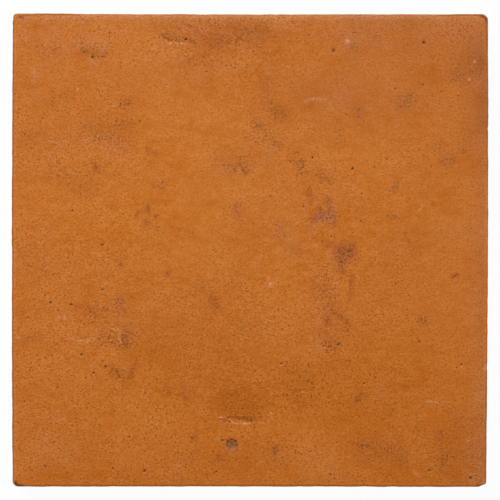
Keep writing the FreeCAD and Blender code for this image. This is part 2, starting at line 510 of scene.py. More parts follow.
# Dark purple stains
PLUM_STAINS = (
    (1.8, 0.80, (312, 218), (322, 216), (331, 218)),
    (1.3, 0.80, (318, 208), (320, 214)),
    (1.2, 0.80, (328, 199), (330, 207), (331, 214)),
    (1.1, 0.70, (333, 222), (337, 226)),
    (1.1, 0.45, (309, 189), (310, 203)),
    (2.2, 0.40, (316, 168), (328, 178)),
    (2.6, 0.80, (339, 248), (350, 247)),
    (2.8, 0.90, (341, 256), (348, 254)),
    (1.8, 0.70, (340, 268)),
    (4.0, 0.14, (320, 275), (330, 300), (326, 340)),
    (1.0, 0.55, (327, 306)),
    (1.0, 0.60, (326, 318)),
    (1.6, 0.70, (236, 204)),
    (1.9, 0.60, (237, 213)),
    (1.2, 0.35, (144, 222), (147, 226)),
    (1.8, 0.65, (212, 297), (213, 303)),
    (1.6, 0.50, (217, 307)),
    (2.4, 0.25, (277, 225), (283, 238)),
    (2.0, 0.30, (291, 248), (298, 250)),
    (1.2, 0.75, (148, 206), (147, 212)),
    (1.0, 0.85, (147, 221)),
    (1.9, 0.55, (120, 300), (119, 312)),
    (1.5, 0.50, (106, 307)),
    (1.8, 0.55, (126, 328), (127, 346)),
    (1.4, 0.40, (110, 331)),
    (0.9, 0.75, (135, 361), (133, 368), (130, 377)),
    (0.8, 0.70, (116, 371)),
    (1.0, 0.80, (388, 215)),
    (1.4, 0.60, (347, 362)),
    (1.5, 0.75, (218, 459)),
    (1.3, 0.80, (274, 451)),
    (2.1, 0.90, (231, 446)),
    (1.8, 0.60, (185, 392)),
    (1.0, 0.50, (153, 185), (163, 186)),
    (0.42, 1.00, (43.3, 464.6), (44.8, 465.2)),
    (1.8, 0.35, (25, 338), (38, 336)),
    (1.0, 0.65, (355, 400), (360, 398)),
    (5.0, 0.15, (28, 250), (45, 270)),
)

# Pale violet bloom, mostly on the purple stains
LILAC_BLOOMS = (
    (1.6, 0.42, (318, 217), (331, 218)),
    (0.9, 0.35, (330, 203), (331, 212)),
    (1.0, 0.35, (311, 223), (316, 226)),
    (1.0, 0.40, (229, 447), (233, 448)),
    (1.0, 0.30, (274, 452)),
    (0.35, 0.30, (46.5, 467.6)),
    (0.30, 0.25, (43, 463.4)),
    (0.8, 0.35, (484.5, 480), (485, 484)),
    (1.8, 0.10, (341, 246), (346, 260)),
    (2.0, 0.10, (277, 225), (298, 250)),
    (2.4, 0.14, (447, 161)),
    (2.2, 0.10, (395, 185)),
    (2.4, 0.08, (405, 102)),
    (5.0, 0.06, (215, 40), (258, 30)),
    (1.0, 0.16, (236, 205), (237, 212)),
    (1.4, 0.14, (120, 300), (119, 312)),
    (1.2, 0.10, (107, 306)),
)

# Pale dust, scratches and grains of lime, and painted highlights on the lit crests of the tears
CHALK_AND_HIGHLIGHT_MARKS = (
    (0.60, 0.22, (304.6, 101), (309, 99), (313, 98)),
    (0.50, 0.20, (313, 98), (325, 99)),
    (0.50, 0.14, (328, 102), (333, 109)),
    (0.45, 0.80, (346.3, 40)),
    (0.40, 0.60, (348.2, 41.6)),
    (0.90, 0.25, (347, 40.5)),
    (3.00, 0.10, (347, 41)),
    (1.60, 0.10, (383, 45), (388, 46)),
    (2.50, 0.06, (360, 40), (372, 42)),
    (0.60, 0.50, (267.5, 278.5)),
    (0.65, 0.75, (270, 283.5)),
    (0.40, 0.30, (425, 400.8), (430, 401), (438, 402)),
    (0.35, 0.16, (440, 402), (450, 401.5)),
    (0.45, 0.22, (419, 210), (423, 204)),
    (0.90, 0.60, (486, 367)),
    (1.60, 0.08, (475, 394), (484, 393)),
    (0.50, 0.40, (468, 440)),
    (0.50, 0.20, (413, 471), (417, 475)),
    (0.40, 0.70, (474, 61)),
    (0.45, 0.70, (469, 79)),
    (0.30, 1.00, (77, 88.5)),
    (0.28, 0.80, (113.5, 105)),
    (0.35, 0.50, (25, 161)),
    (1.40, 0.12, (33, 70), (34, 79)),
    (2.00, 0.10, (80, 43), (106, 43)),
    (1.60, 0.14, (102, 49)),
    (1.20, 0.16, (90, 61), (95, 62)),
    (0.80, 0.12, (56, 317), (66, 317)),
    (0.90, 0.14, (72, 338), (84, 342)),
    (0.45, 0.50, (18, 337)),
    (6.00, 0.05, (42, 445), (62, 455)),
    (2.00, 0.08, (60, 418)),
    (1.00, 0.20, (255, 265)),
    # Painted highlight on the lit crest of the lower tear
    (0.28, 0.30, (220, 417), (223, 417.6)),
    (0.28, 0.20, (226, 418.7), (229, 419.8)),
    (0.26, 0.25, (231, 421.2), (233, 421.6)),
    (0.26, 0.16, (237, 422.6), (240, 422.4)),
    (0.26, 0.14, (244, 423.6), (248, 423.4)),
    (0.30, 0.25, (245, 421.5)),
    # Painted highlight on the lit crest of the upper tear
    (0.32, 0.22, (165.5, 40), (168.5, 41.5)),
    (0.32, 0.26, (170, 42.6), (172.5, 43.2)),
    (0.32, 0.22, (176, 44), (179, 44.4)),
    (0.32, 0.24, (182, 43.2), (184, 42.8)),
    (0.28, 0.20, (193, 44.4), (196, 45)),
    (0.30, 0.60, (229, 442.5)),
    (0.30, 0.50, (233, 443.5)),
    (0.30, 0.40, (231, 445.5)),
    (0.45, 0.50, (270.5, 412.5)),
    (0.40, 0.18, (52, 141), (56, 142), (60, 145)),
    (1.60, 0.13, (20, 15), (250, 16), (480, 15)),
)

# Black dirt in cracks, pits and broken corners, and painted shade in the hollows above the two tears and in
# the stone pit
SOOT_AND_SHADE_MARKS = (
    # Painted shade on the upper wall of the stone pit, with dirt
    (0.55, 0.55, (226.5, 443), (228, 440), (232, 438.8), (235.5, 441), (236.5, 445)),
    (2.4, 0.10, (84, 50), (103, 53)),
    (0.26, 0.42, (18.8, 16.3), (21.5, 16.9)),
    (0.34, 0.80, (480, 14.2), (484.8, 17.2), (486.4, 21)),
    (0.35, 0.55, (480, 485.8)),
    (0.40, 1.00, (14.5, 482), (16.8, 485.1), (22, 486.1)),
    (0.22, 0.30, (44, 465), (45.5, 465.8)),
    (0.30, 0.45, (421, 318)),
    (0.30, 0.50, (424, 320)),
    (0.25, 0.40, (426, 322)),
    (0.30, 0.40, (420, 322)),
    (0.25, 0.40, (423, 323.5)),
    (0.35, 0.50, (455, 275.5)),
    (0.30, 0.45, (453, 277.5)),
    (0.25, 0.30, (457, 274)),
    (0.30, 0.60, (477, 485.8), (481, 485.3)),
    # Painted shade in the hollow above the upper tear
    (0.34, 0.50, (160.5, 33.8), (165, 36.8), (171, 39.8)),
    (0.34, 0.40, (175, 40), (184, 40.5)),
    (0.34, 0.22, (187, 41), (196, 43)),
    # Painted shade in the hollow above the lower tear
    (0.35, 0.18, (227, 416), (232, 417.4)),
    (0.35, 0.22, (238, 418.4), (241, 419)),
    (0.50, 0.38, (244, 418.8), (251, 420.5)),
    (0.30, 0.50, (121, 337), (122.5, 341)),
    (0.30, 0.35, (123, 344), (126, 347)),
)

# Loose pale crumbs along tears and ridges, which along the tears also paint the highlight on their lit lips
CRUMB_AND_HIGHLIGHT_LINES = (
    # Painted highlight on the lit lip of the upper tear, with crumbs
    (0.5, 1.00, (163, 38), (169, 41), (174, 43), (184, 43)),
    (1.3, 0.70, (166, 42), (183, 45)),
    (0.6, 0.90, (191, 44), (197, 45)),
    # Painted highlight on the lit lip of the lower tear, with crumbs
    (0.4, 1.00, (220, 417), (226, 418.5), (231, 420)),
    (0.5, 0.90, (232, 421.5), (240, 422.5), (249, 423)),
    (1.2, 0.50, (56, 317), (66, 317)),
    (1.1, 0.85, (72, 337), (80, 341), (92, 339)),
    (1.2, 0.70, (110, 331), (116, 329.5), (123, 331)),
    (5.0, 0.15, (205, 30), (255, 38)),
    (2.0, 0.50, (50, 142), (62, 145)),
    (4.0, 0.35, (70, 138), (110, 142)),
    (1.2, 0.70, (236, 172), (240, 173)),
    # Painted highlight along the lit lip of the lower tear, with crumbs
    (0.9, 0.50, (232, 422), (248, 424)),
    (0.9, 0.25, (258, 423), (282, 423)),
    (3.0, 0.22, (112, 330), (122, 345)),
    (0.5, 0.40, (119, 338), (120, 343)),
    (0.7, 0.80, (20, 19.5), (22, 19.5)),
)

# Painted shade on the rounded arris: a dark line where it shows from above, strongest along the bottom and
# left sides
ARRIS_SHADE_LINES = (
    (0.34, 1.00, (18, 15.5), (30, 14.5), (45, 13.8), (78, 14.1)),
    (0.34, 0.90, (13.1, 18), (13.1, 30)),
    (0.34, 0.90, (12.8, 40), (12.0, 254), (12.6, 474)),
    (0.55, 1.00, (15.5, 481), (18.3, 484), (23, 484.9)),
    (0.34, 0.90, (23, 484.7), (250, 484.5), (472, 485.1)),
    (0.38, 1.00, (474, 485.1), (481.5, 483.6)),
    (0.34, 1.00, (436, 14.6), (477, 14.4), (483, 17)),
    (0.34, 0.90, (485.5, 18), (486, 40)),
    (0.34, 0.40, (485.9, 40), (486.3, 170)),
    (0.34, 0.65, (485.6, 380), (484.4, 478)),
)

MARK_ROWS = {
    Tone.WORN: WORN_PATCHES,
    Tone.DEEP: DEEP_WASHES_AND_SHADE,
    Tone.PALE: PALE_WASHES,
    Tone.ROSE: ROSE_WASHES,
    Tone.DUSK: DUSK_WASHES,
    Tone.UMBER: UMBER_STAINS_AND_SHADE,
    Tone.RUST: RUST_SPOTS,
    Tone.PLUM: PLUM_STAINS,
    Tone.LILAC: LILAC_BLOOMS,
    Tone.CHALK_AND_HIGHLIGHT: CHALK_AND_HIGHLIGHT_MARKS,
    Tone.SOOT_AND_SHADE: SOOT_AND_SHADE_MARKS,
    Tone.CRUMB_AND_HIGHLIGHT: CRUMB_AND_HIGHLIGHT_LINES,
    Tone.ARRIS_SHADE: ARRIS_SHADE_LINES,
}
MARKS = tuple(
    Mark(tone, reach, strength, tuple(pixels))
    for tone, rows in MARK_ROWS.items()
    for reach, strength, *pixels in rows
)


@dataclass(frozen=True)
class Wire:
    """Output socket of a shader node, with the operators that shader maths needs."""

    graph: "Graph"
    socket: bpy.types.NodeSocket

    def __add__(self, other: "Value") -> "Wire":
        """Sum of two values."""
        return self.graph.maths("ADD", self, other)

    def __sub__(self, other: "Value") -> "Wire":
        """This value less another."""
        return self.graph.maths("SUBTRACT", self, other)

    def __rsub__(self, other: "Value") -> "Wire":
        """Another value less this one."""
        return self.graph.maths("SUBTRACT", other, self)

    def __mul__(self, other: "Value") -> "Wire":
        """Product of two values."""
        return self.graph.maths("MULTIPLY", self, other)

    __radd__ = __add__
    __rmul__ = __mul__


Value = Union[Wire, float]
Paint = Union[Wire, Colour]


@dataclass(frozen=True)
class Grain:
    """One size of unevenness in the clay: how large its lumps are, and how much finer detail they have."""

    size_mm: float
    detail: float


class Graph:
    """Node tree of a material or a world, filled by Python expressions."""

    # Sockets of a Mix node that mixes colours
    MIX_SHARE = 0
    MIX_UNDER = 6
    MIX_OVER = 7
    MIX_RESULT = 2

    def __init__(self, tree: bpy.types.NodeTree) -> None:
        """Empties the tree."""
        self.tree = tree
        tree.nodes.clear()

    def node(self, kind: str, settings: dict[str, Any], inputs: dict[Any, Any], output: Any = 0) -> Wire:
        """Adds a node.

        Args:
            kind: Blender's name for the type of node.
            settings: Values for the node's own properties, which are set first.
            inputs: Values or wires for its sockets, by name or number.
            output: Name or number of the socket to return.

        Returns:
            The wire from that output.
        """
        made = self.tree.nodes.new(kind)
        for name, value in settings.items():
            setattr(made, name, value)
        for key, value in inputs.items():
            if isinstance(value, Wire):
                self.tree.links.new(value.socket, made.inputs[key])
            else:
                made.inputs[key].default_value = value
        return Wire(self, made.outputs[output])

    def maths(self, operation: str, first: Value, second: Value) -> Wire:
        """One Math node on two values."""
        return self.node("ShaderNodeMath", {"operation": operation}, {0: first, 1: second})

    def stretched(self, place: Wire, scale: Stretch) -> Wire:
        """Places with each axis scaled."""
        return self.node("ShaderNodeVectorMath", {"operation": "MULTIPLY"}, {0: place, 1: scale})

    def blend(self, share: Value, under: Paint, over: Paint, lay: Lay = Lay.OVER) -> Wire:
        """Lays one colour over another.

        Args:
            share: How much of the upper colour shows.
            under: Lower colour.
            over: Upper colour.
            lay: How it is laid.

        Returns:
            The wire with the mixed colour.
        """
        settings = {"data_type": "RGBA", "blend_type": lay.value, "clamp_factor": True}
        inputs = {self.MIX_SHARE: share, self.MIX_UNDER: under, self.MIX_OVER: over}
        return self.node("ShaderNodeMix", settings, inputs, self.MIX_RESULT)

    def step(self, value: Value, low: float, high: float) -> Wire:
        """Smooth step of a value, from 0 at low to 1 at high."""
        inputs = {"Value": value, "From Min": low, "From Max": high}
        return self.node("ShaderNodeMapRange", {"interpolation_type": "SMOOTHSTEP"}, inputs)

    def noise(self, place: Wire, grain: Grain) -> Wire:
        """Noise of one size of grain, around NOISE_MEAN."""
        inputs = {"Vector": place, "Scale": 1 / grain.size_mm, "Detail": grain.detail}
        return self.node("ShaderNodeTexNoise", {}, inputs)

    def grit(self, place: Wire, gap_mm: float) -> Wire:
        """Distance to the nearest of many scattered grains, as a share of the gap between them."""
        inputs = {"Vector": place, "Scale": 1 / gap_mm}
        return self.node("ShaderNodeTexVoronoi", {"feature": "F1"}, inputs, "Distance")

    def layer(self, tone: Tone) -> Wire:
        """One of the mesh's tone layers."""
        return self.node("ShaderNodeAttribute", {"attribute_name": tone.value}, {}, "Fac")

    def output(self, kind: str, shader: Wire) -> None:
        """Ends the tree with its output node.

        Args:
            kind: Type of the output node.
            shader: What it shows.
        """
        made = self.tree.nodes.new(kind)
        self.tree.links.new(shader.socket, made.inputs["Surface"])


@dataclass(frozen=True)
class Scatter:
    """Grains scattered through the clay. Their size is a share of the gap between them.

    Swing, crowding and cluster are how much larger a grain gets with its own noise, where grains crowd
    together, and where stains gather them.
    """

    gap_mm: float
    size: float
    edge: float
    share: float
    swing: float
    crowding: float
    cluster: float = 0.0

    def mask(self, place: Wire, own: Wire, crowd: Value, gathered: Value) -> Wire:
        """Value of 1 on the grains and 0 between them.

        Args:
            place: Places on the tile in millimetres.
            own: Noise that sets grains apart in size.
            crowd: How densely they lie.
            gathered: How far stains gather them.

        Returns:
            The wire with the mask.
        """
        size = self.size + self.cluster * gathered + self.crowding * crowd + self.swing * (own - NOISE_MEAN)
        return place.graph.step(size - place.graph.grit(place, self.gap_mm), 0.0, self.edge)


@dataclass(frozen=True)
class ClayColours:
    """Colours of the fired clay and of what lies on it, with painted shade and highlights, in linear light.
    """

    clay: Colour = (0.566, 0.170, 0.030, 1.0)
    deep: Colour = (0.480, 0.120, 0.006, 1.0)
    pale: Colour = (0.610, 0.190, 0.028, 1.0)
    rose: Colour = (0.520, 0.180, 0.060, 1.0)
    dusk: Colour = (0.290, 0.085, 0.030, 1.0)
    grain_low: Colour = (0.80, 0.60, 0.10, 1.0)
    grain_high: Colour = (1.20, 1.40, 1.90, 1.0)
    fleck: Colour = (0.330, 0.070, 0.002, 1.0)
    crisp_fleck: Colour = (0.268, 0.055, 0.002, 1.0)
    stained_fleck: Colour = (0.285, 0.080, 0.026, 1.0)
    speck: Colour = (0.120, 0.028, 0.002, 1.0)
    umber: Colour = (0.190, 0.066, 0.020, 1.0)
    rust: Colour = (0.300, 0.060, 0.020, 1.0)
    plum: Colour = (0.240, 0.064, 0.027, 1.0)
    lilac: Colour = (0.480, 0.270, 0.190, 1.0)
    # pale dust, also used for painted highlights
    chalk_and_highlight: Colour = (0.760, 0.460, 0.290, 1.0)
    # pale crumbs, also the painted highlight on the lips of the tears
    crumb: Colour = (0.690, 0.285, 0.105, 1.0)
    # black dirt, also used for painted shade in pits and tears
    soot_and_shade: Colour = (0.040, 0.022, 0.012, 1.0)
    # painted shade of the rounded arris
    arris: Colour = (0.350, 0.092, 0.002, 1.0)
    raw: Colour = (0.500, 0.155, 0.036, 1.0)
    dry: Colour = (0.640, 0.270, 0.110, 1.0)


class Ground:
    """What the colours and the relief of the clay share: its noises, tone layers and scattered grains."""

    def __init__(self, graph: Graph, clay: "FiredClay") -> None:
        """Adds their nodes.

        Args:
            graph: Node tree of the clay.
            clay: The finish that they belong to.
        """
        metres = graph.node("ShaderNodeTexCoord", {}, {}, "Object")
        place = graph.stretched(metres, (1 / MM, 1 / MM, 1 / MM))
        dragged = graph.stretched(place, clay.drag)
        drawn = graph.stretched(place, clay.side_drag)
        self.graph = graph
        self.tones = {tone: graph.layer(tone) for tone in Tone}
        self.fine = graph.noise(dragged, clay.fine)
        self.fleck = graph.noise(place, clay.fleck)
        self.speck = graph.noise(place, clay.speck)
        self.mottle = graph.noise(dragged, clay.mottle)
        self.patch = graph.noise(dragged, clay.patch)
        self.cloud = graph.noise(dragged, clay.cloud)
        self.streaks = graph.noise(drawn, clay.streak)

        worn = self.tones[Tone.WORN]
        patches = self.patch - NOISE_MEAN
        self.crispness = 1.0 - clay.worn_softness * worn
        self.crowd = clay.patch_crowd * patches + clay.mottle_crowd * (self.mottle - NOISE_MEAN)
        self.gathered = (
            clay.umber_gather * self.tones[Tone.UMBER]
            + clay.plum_gather * self.tones[Tone.PLUM]
            + clay.rust_gather * self.tones[Tone.RUST]
        )
        rubbed = self.gathered - clay.worn_shrink * worn
        self.crisp = clay.crisp.mask(dragged, self.fleck, self.crowd, rubbed)
        self.specks = clay.specks.mask(place, self.speck, self.crowd, self.gathered)
        self.pores = self.tones[Tone.RAW] * clay.pores.mask(place, self.speck, patches, 0.0)


@dataclass(frozen=True)
class ClayRelief:
    """Bump of the clay: how far each noise and grain rises or sinks on the face, in crumbs and on sides."""

    distance: float = 0.4 * MM
    strength: float = 0.8
    fine_rise: float = 0.3
    mottle_rise: float = 0.8
    fleck_sink: float = 0.8
    crisp_sink: float = 0.5
    crumb_rise: float = 1.5
    crumb_sink: float = 1.0
    side_streak: float = 2.5
    side_fine: float = 0.8
    side_mottle: float = 0.8
    side_fleck: float = 0.6
    pore_sink: float = 1.5

    def normal(self, ground: Ground) -> Wire:
        """Adds the bump.

        Args:
            ground: Noises and grains of the clay.

        Returns:
            The wire with the bumped normal.
        """
        crumb = ground.tones[Tone.CRUMB_AND_HIGHLIGHT]
        face = (
            self.fine_rise * ground.fine
            + (self.mottle_rise + self.crumb_rise * crumb) * ground.mottle
            - (self.fleck_sink + self.crumb_sink * crumb) * ground.fleck
            - self.crisp_sink * ground.crisp
        )
        side = (
            self.side_streak * ground.streaks
            + self.side_fine * ground.fine
            + self.side_mottle * ground.mottle
            - self.side_fleck * ground.fleck
        )
        height = face + ground.tones[Tone.RAW] * side - self.pore_sink * ground.pores
        bump = {"Strength": self.strength, "Distance": self.distance, "Height": ground.crispness * height}
        return ground.graph.node("ShaderNodeBump", {}, bump)


@dataclass(frozen=True)
class FiredClay:
    """Unglazed terracotta: its grain, and how strongly its washes, flecks, stains, dust, painted shade and
    painted highlights show.
    """

    colours: ClayColours = ClayColours()
    relief: ClayRelief = ClayRelief()
    roughness: float = 0.78
    rough_swing: float = 0.2
    shine: float = 0.02

    # Grain of the face, which was drawn out sideways in striking off, and of the sides, drawn out level
    drag: Stretch = (0.60, 1.0, 1.0)
    side_drag: Stretch = (0.12, 0.12, 1.0)
    fine: Grain = Grain(0.54, 1.0)
    fleck: Grain = Grain(0.88, 1.5)
    speck: Grain = Grain(1.4, 1.0)
    mottle: Grain = Grain(2.8, 2.0)
    patch: Grain = Grain(11.0, 2.0)
    cloud: Grain = Grain(30.0, 3.0)
    streak: Grain = Grain(1.5, 3.0)
    crisp: Scatter = Scatter(0.82, 0.21, edge=0.12, share=0.86, swing=0.30, crowding=0.65, cluster=1.0)
    specks: Scatter = Scatter(1.7, 0.12, edge=0.05, share=0.9, swing=0.12, crowding=0.30, cluster=0.3)
    pores: Scatter = Scatter(2.6, 0.10, edge=0.05, share=0.8, swing=0.40, crowding=0.30)

    # How washes follow the mottle: their least share, and what the mottle adds
    rose_least: float = 0.3
    rose_mottle: float = 1.4
    dusk_least: float = 0.4
    dusk_mottle: float = 1.2

    # How each noise lightens the clay
    fine_light: float = 1.2
    mottle_light: float = 0.6
    patch_light: float = 0.65
    cloud_light: float = 0.4
    light_drop: float = 0.32

    # How wear softens the grain and shrinks its flecks
    worn_softness: float = 0.45
    worn_shrink: float = 0.04
    worn_haze: float = 0.07

    # Where flecks crowd together, and how far stains gather them
    patch_crowd: float = 0.35
    mottle_crowd: float = 0.25
    umber_gather: float = 0.15
    plum_gather: float = 0.10
    rust_gather: float = 0.06
    soft_gather: float = 0.3
    soft_span: Span = (0.48, 0.86)
    soft_share: float = 0.58
    red_speck_span: Span = (0.50, 0.62)

    # How stains break up on the grain
    blot_mottle: float = 0.5
    umber_least: float = 0.1
    umber_span: Span = (0.62, 0.90)
    umber_share: float = 0.55
    spot_least: float = 0.25
    spot_span: Span = (0.56, 0.86)
    rust_share: float = 0.9
    plum_share: float = 0.8
    lilac_span: Span = (0.40, 0.62)

    # Pale crumbs, everywhere and along crumb lines, which along the tears paint the highlight of their lit
    # lips
    crumb_gather: float = 0.20
    crumb_span: Span = (0.64, 0.78)
    crumb_share: float = 0.45
    crumb_line_share: float = 0.55

    # Dust, the dry bloom of the sides, and the painted shade of the arris
    dust_span: Span = (0.15, 0.6)
    dry_streaks: float = 0.8
    dry_patch: float = 0.5
    dry_fine: float = 0.4
    dry_span: Span = (0.75, 1.10)
    dry_share: float = 0.45
    arris_shade_share: float = 0.8

    def material(self) -> bpy.types.Material:
        """Builds the procedural material.

        Returns:
            The material, which reads the tone layers of the mesh.
        """
        made = bpy.data.materials.new("fired_clay")
        made.use_nodes = True
        graph = Graph(made.node_tree)
        ground = Ground(graph, self)
        colour = self.washed(ground)
        colour = self.flecked(ground, colour)
        colour = self.stained(ground, colour)
        colour = self.dusted(ground, colour)
        surface = {
            "Base Color": colour,
            "Roughness": self.roughness + self.rough_swing * (ground.mottle - NOISE_MEAN),
            "Specular IOR Level": self.shine,
            "Normal": self.relief.normal(ground),
        }
        graph.output("ShaderNodeOutputMaterial", graph.node("ShaderNodeBsdfPrincipled", {}, surface))
        return made

    def washed(self, ground: Ground) -> Wire:
        """Colours the clay with its broad washes, and lightens and darkens it with its grain.

        Args:
            ground: Noises and tone layers of the clay.

        Returns:
            The wire with the colour.
        """
        graph, tones, hues = ground.graph, ground.tones, self.colours
        rose = tones[Tone.ROSE] * (self.rose_least + self.rose_mottle * ground.mottle)
        dusk = tones[Tone.DUSK] * (self.dusk_least + self.dusk_mottle * ground.mottle)
        colour = graph.blend(tones[Tone.DEEP], hues.clay, hues.deep)
        colour = graph.blend(tones[Tone.PALE], colour, hues.pale)
        colour = graph.blend(rose, colour, hues.rose)
        colour = graph.blend(dusk, colour, hues.dusk)
        colour = graph.blend(tones[Tone.RAW], colour, hues.raw)
        light = (
            self.fine_light * ground.crispness * (ground.fine - NOISE_MEAN)
            + self.mottle_light * ground.mottle
            + self.patch_light * ground.patch
            + self.cloud_light * ground.cloud
            - self.light_drop
        )
        tint = graph.blend(light, hues.grain_low, hues.grain_high)
        return graph.blend(1.0, colour, tint, Lay.TINT)

    def flecked(self, ground: Ground, colour: Wire) -> Wire:
        """Lays soft flecks, crisp flecks and dark specks over a colour.

        Args:
            ground: Noises, tone layers and grains of the clay.
            colour: What they lie on.

        Returns:
            The wire with the new colour.
        """
        graph, tones, hues = ground.graph, ground.tones, self.colours
        soft = graph.step(ground.fleck + ground.crowd + self.soft_gather * ground.gathered, *self.soft_span)
        colour = graph.blend(self.soft_share * ground.crispness * soft, colour, hues.fleck)
        colour = graph.blend(self.worn_haze * tones[Tone.WORN], colour, hues.fleck)
        in_stain = tones[Tone.UMBER] + tones[Tone.PLUM] + tones[Tone.RUST]
        crisp_hue = graph.blend(in_stain, hues.crisp_fleck, hues.stained_fleck)
        colour = graph.blend(self.crisp.share * ground.crispness * ground.crisp, colour, crisp_hue)
        redness = graph.step(ground.speck, *self.red_speck_span) + tones[Tone.PLUM]
        speck_hue = graph.blend(redness, hues.speck, hues.rust)
        return graph.blend(self.specks.share * ground.specks, colour, speck_hue)

    def stained(self, ground: Ground, colour: Wire) -> Wire:
        """Lays the stains over a colour, broken up by the grain, and the pale crumbs among them; some stain
        and crumb strokes paint shade in the tear hollows and highlights on their lips.

        Args:
            ground: Noises and tone layers of the clay.
            colour: What they lie on.

        Returns:
            The wire with the new colour.
        """
        graph, tones, hues = ground.graph, ground.tones, self.colours
        blots = ground.fleck + self.blot_mottle * ground.mottle
        smudge = self.umber_least + (1.0 - self.umber_least) * graph.step(blots, *self.umber_span)
        spots = self.spot_least + (1.0 - self.spot_least) * graph.step(blots, *self.spot_span)
        between = 1.0 - ground.fleck
        crumbs = graph.step(between + self.crumb_gather * tones[Tone.CRUMB_AND_HIGHLIGHT], *self.crumb_span)
        crumb_share = self.crumb_share * ground.crispness + self.crumb_line_share * tones[Tone.CRUMB_AND_HIGHLIGHT]
        lilac = tones[Tone.LILAC] * graph.step(between, *self.lilac_span)
        colour = graph.blend(self.umber_share * (tones[Tone.UMBER] * smudge), colour, hues.umber)
        colour = graph.blend(crumb_share * crumbs, colour, hues.crumb)
        colour = graph.blend(self.rust_share * tones[Tone.RUST] * spots, colour, hues.rust)
        colour = graph.blend(self.plum_share * tones[Tone.PLUM] * spots, colour, hues.plum)
        return graph.blend(lilac, colour, hues.lilac)

    def dusted(self, ground: Ground, colour: Wire) -> Wire:
        """Lays dust, the dry bloom and pores of the sides, the painted shade of the arris and black dirt over
        a colour; the dust and the dirt also carry painted highlights and shade on the tears, the pits and the
        edge.

        Args:
            ground: Noises, tone layers and grains of the clay.
            colour: What they lie on.

        Returns:
            The wire with the new colour.
        """
        graph, tones, hues = ground.graph, ground.tones, self.colours
        # chalk dust, which also carries the painted highlights on the tears, the pits and the edge
        dust = tones[Tone.CHALK_AND_HIGHLIGHT] * graph.step(ground.fine, *self.dust_span)
        dryness = (
            self.dry_streaks * ground.streaks
            + self.dry_patch * ground.patch
            + self.dry_fine * ground.fine
        )
        dry = self.dry_share * (tones[Tone.RAW] * graph.step(dryness, *self.dry_span))
        colour = graph.blend(dust, colour, hues.chalk_and_highlight)
        colour = graph.blend(dry, colour, hues.dry)
        colour = graph.blend(self.pores.share * ground.pores, colour, hues.speck)
        # painted shade on the arris
        colour = graph.blend(self.arris_shade_share * tones[Tone.ARRIS_SHADE], colour, hues.arris)
        return graph.blend(tones[Tone.SOOT_AND_SHADE], colour, hues.soot_and_shade)


class Solid:
    """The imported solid, felt with rays."""

    def __init__(self, node: bpy.types.Object) -> None:
        """Sorts the node's triangles for casting."""
        points = [vertex.co.copy() for vertex in node.data.vertices]
        faces = [tuple(face.vertices) for face in node.data.polygons]
        self.tree = BVHTree.FromPolygons(points, faces)

    def hit(self, start: Vector, direction: Vector, reach: float) -> Vector:
        """First point of the surface on a ray.

        Args:
            start: Where the ray starts.
            direction: Where it goes, of length 1.
            reach: How far along the ray to stop where it meets nothing.

        Returns:
            The point that it meets.
        """
        found = self.tree.ray_cast(start, direction)[0]
        return found if found is not None else start + direction * reach

    def height(self, x: float, y: float, above: float) -> float:
        """Height of the face at a place, felt from above."""
        return self.hit(Vector((x, y, above)), -UP, above).z


@dataclass(frozen=True)
class Lump:
    """One size of lumps in a surface, with a seed that sets it apart from the others."""

    size: float
    seed: float
    weight: float = 1.0


Lumps = tuple[Lump, ...]
Layers = dict[Tone, np.ndarray]


def smooth(value: np.ndarray) -> np.ndarray:
    """Smooth step of an array, from 0 at 0 to 1 at 1."""
    held = np.clip(value, 0.0, 1.0)
    return held * held * (3.0 - 2.0 * held)


def uneven(points: np.ndarray, lumps: Lumps) -> np.ndarray:
    """Smooth noise at many points.

    Args:
        points: Places, one in each row.
        lumps: Sizes of lumps to add up.

    Returns:
        A value for each place, from about -1 to 1 for one lump of weight 1.
    """
    total = np.zeros(len(points))
    for lump in lumps:
        shift = Vector((lump.seed, 2.0 * lump.seed, 3.0 * lump.seed))
        total += lump.weight * np.array([noise.noise(Vector(point) / lump.size + shift) for point in points])
    return total


